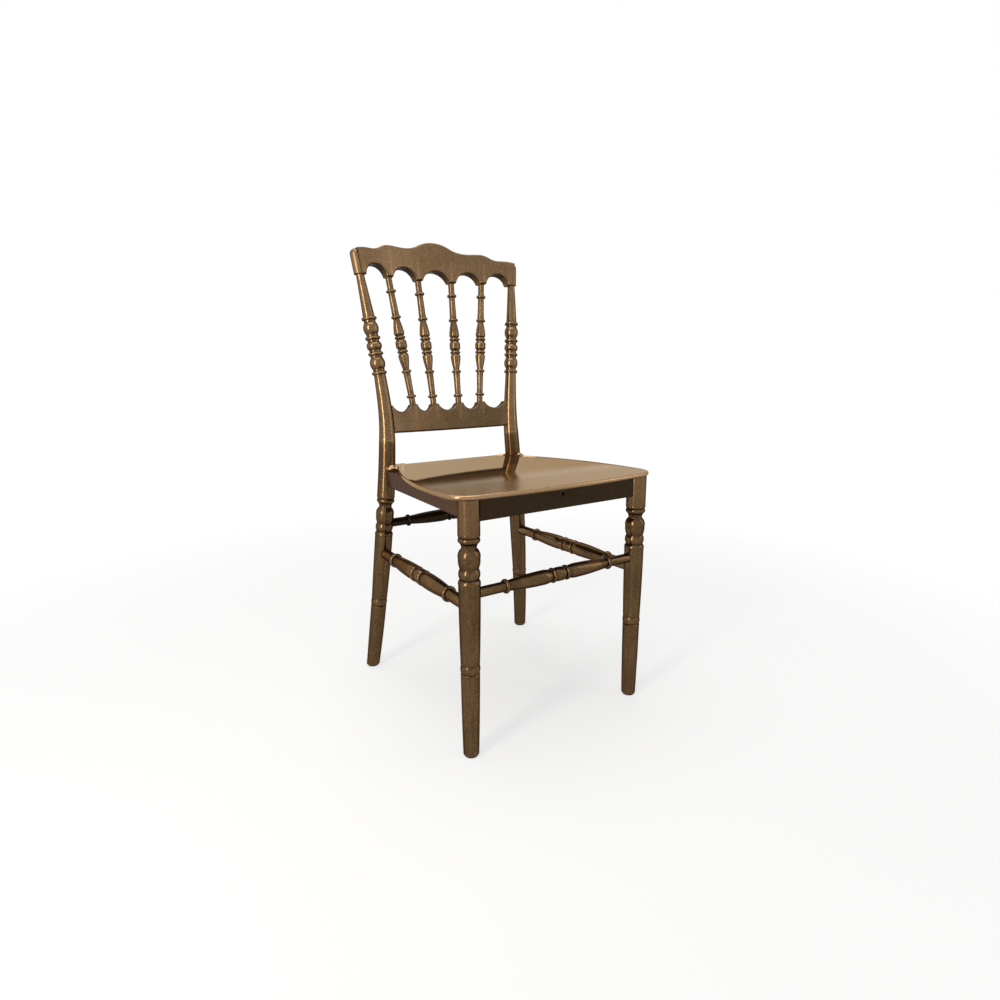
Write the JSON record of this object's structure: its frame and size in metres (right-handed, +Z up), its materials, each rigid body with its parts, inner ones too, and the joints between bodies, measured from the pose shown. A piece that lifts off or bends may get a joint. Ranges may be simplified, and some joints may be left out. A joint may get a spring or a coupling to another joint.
{
  "type": "banquet chair",
  "caption": "Armless banquet chair with turned legs, uprights, stretchers and spindles, a scalloped crest rail and a shallow dished seat.",
  "frame": {"origin": "on the floor under the middle of the chair's outline", "axes": "+Z up, the chair faces -Y, +X to the right of someone who faces the chair"},
  "size_m": [0.43, 0.4949, 0.8873],
  "materials": {
    "frame_resin": "glossy dark gold pearl",
    "rail_resin": "glossy dark gold pearl",
    "seat_resin": "glossy dark gold pearl, polished top",
    "brace_resin": "plain moulded",
    "glide_rubber": "matte black",
    "fastener_steel": "zinc plated",
    "dowel": "ribbed pin, plain here"
  },
  "bodies": {
    "root": {"apron_dowels": "dowel", "back_leg_left": "frame_resin", "back_leg_right": "frame_resin", "brace_front_left": "brace_resin", "brace_front_right": "brace_resin", "brace_rear_left": "brace_resin", "brace_rear_right": "brace_resin", "crest_rail": "rail_resin", "front_apron": "frame_resin", "front_leg_left": "frame_resin", "front_leg_right": "frame_resin", "front_stretcher": "frame_resin", "glide_back_left": "glide_rubber", "glide_back_right": "glide_rubber", "glide_front_left": "glide_rubber", "glide_front_right": "glide_rubber", "left_apron": "frame_resin", "left_stretcher": "frame_resin", "leg_bolt_washers": "fastener_steel", "leg_bolts": "fastener_steel", "lower_back_rail": "rail_resin", "lower_rail_dowels": "dowel", "rear_apron": "frame_resin", "rear_stretcher": "frame_resin", "right_apron": "frame_resin", "right_stretcher": "frame_resin", "seat_panel": "seat_resin", "seat_screws": "fastener_steel", "spindle_inner_left": "frame_resin", "spindle_inner_right": "frame_resin", "spindle_outer_left": "frame_resin", "spindle_outer_right": "frame_resin", "upright_left": "frame_resin", "upright_right": "frame_resin"}
  },
  "joints": []
}
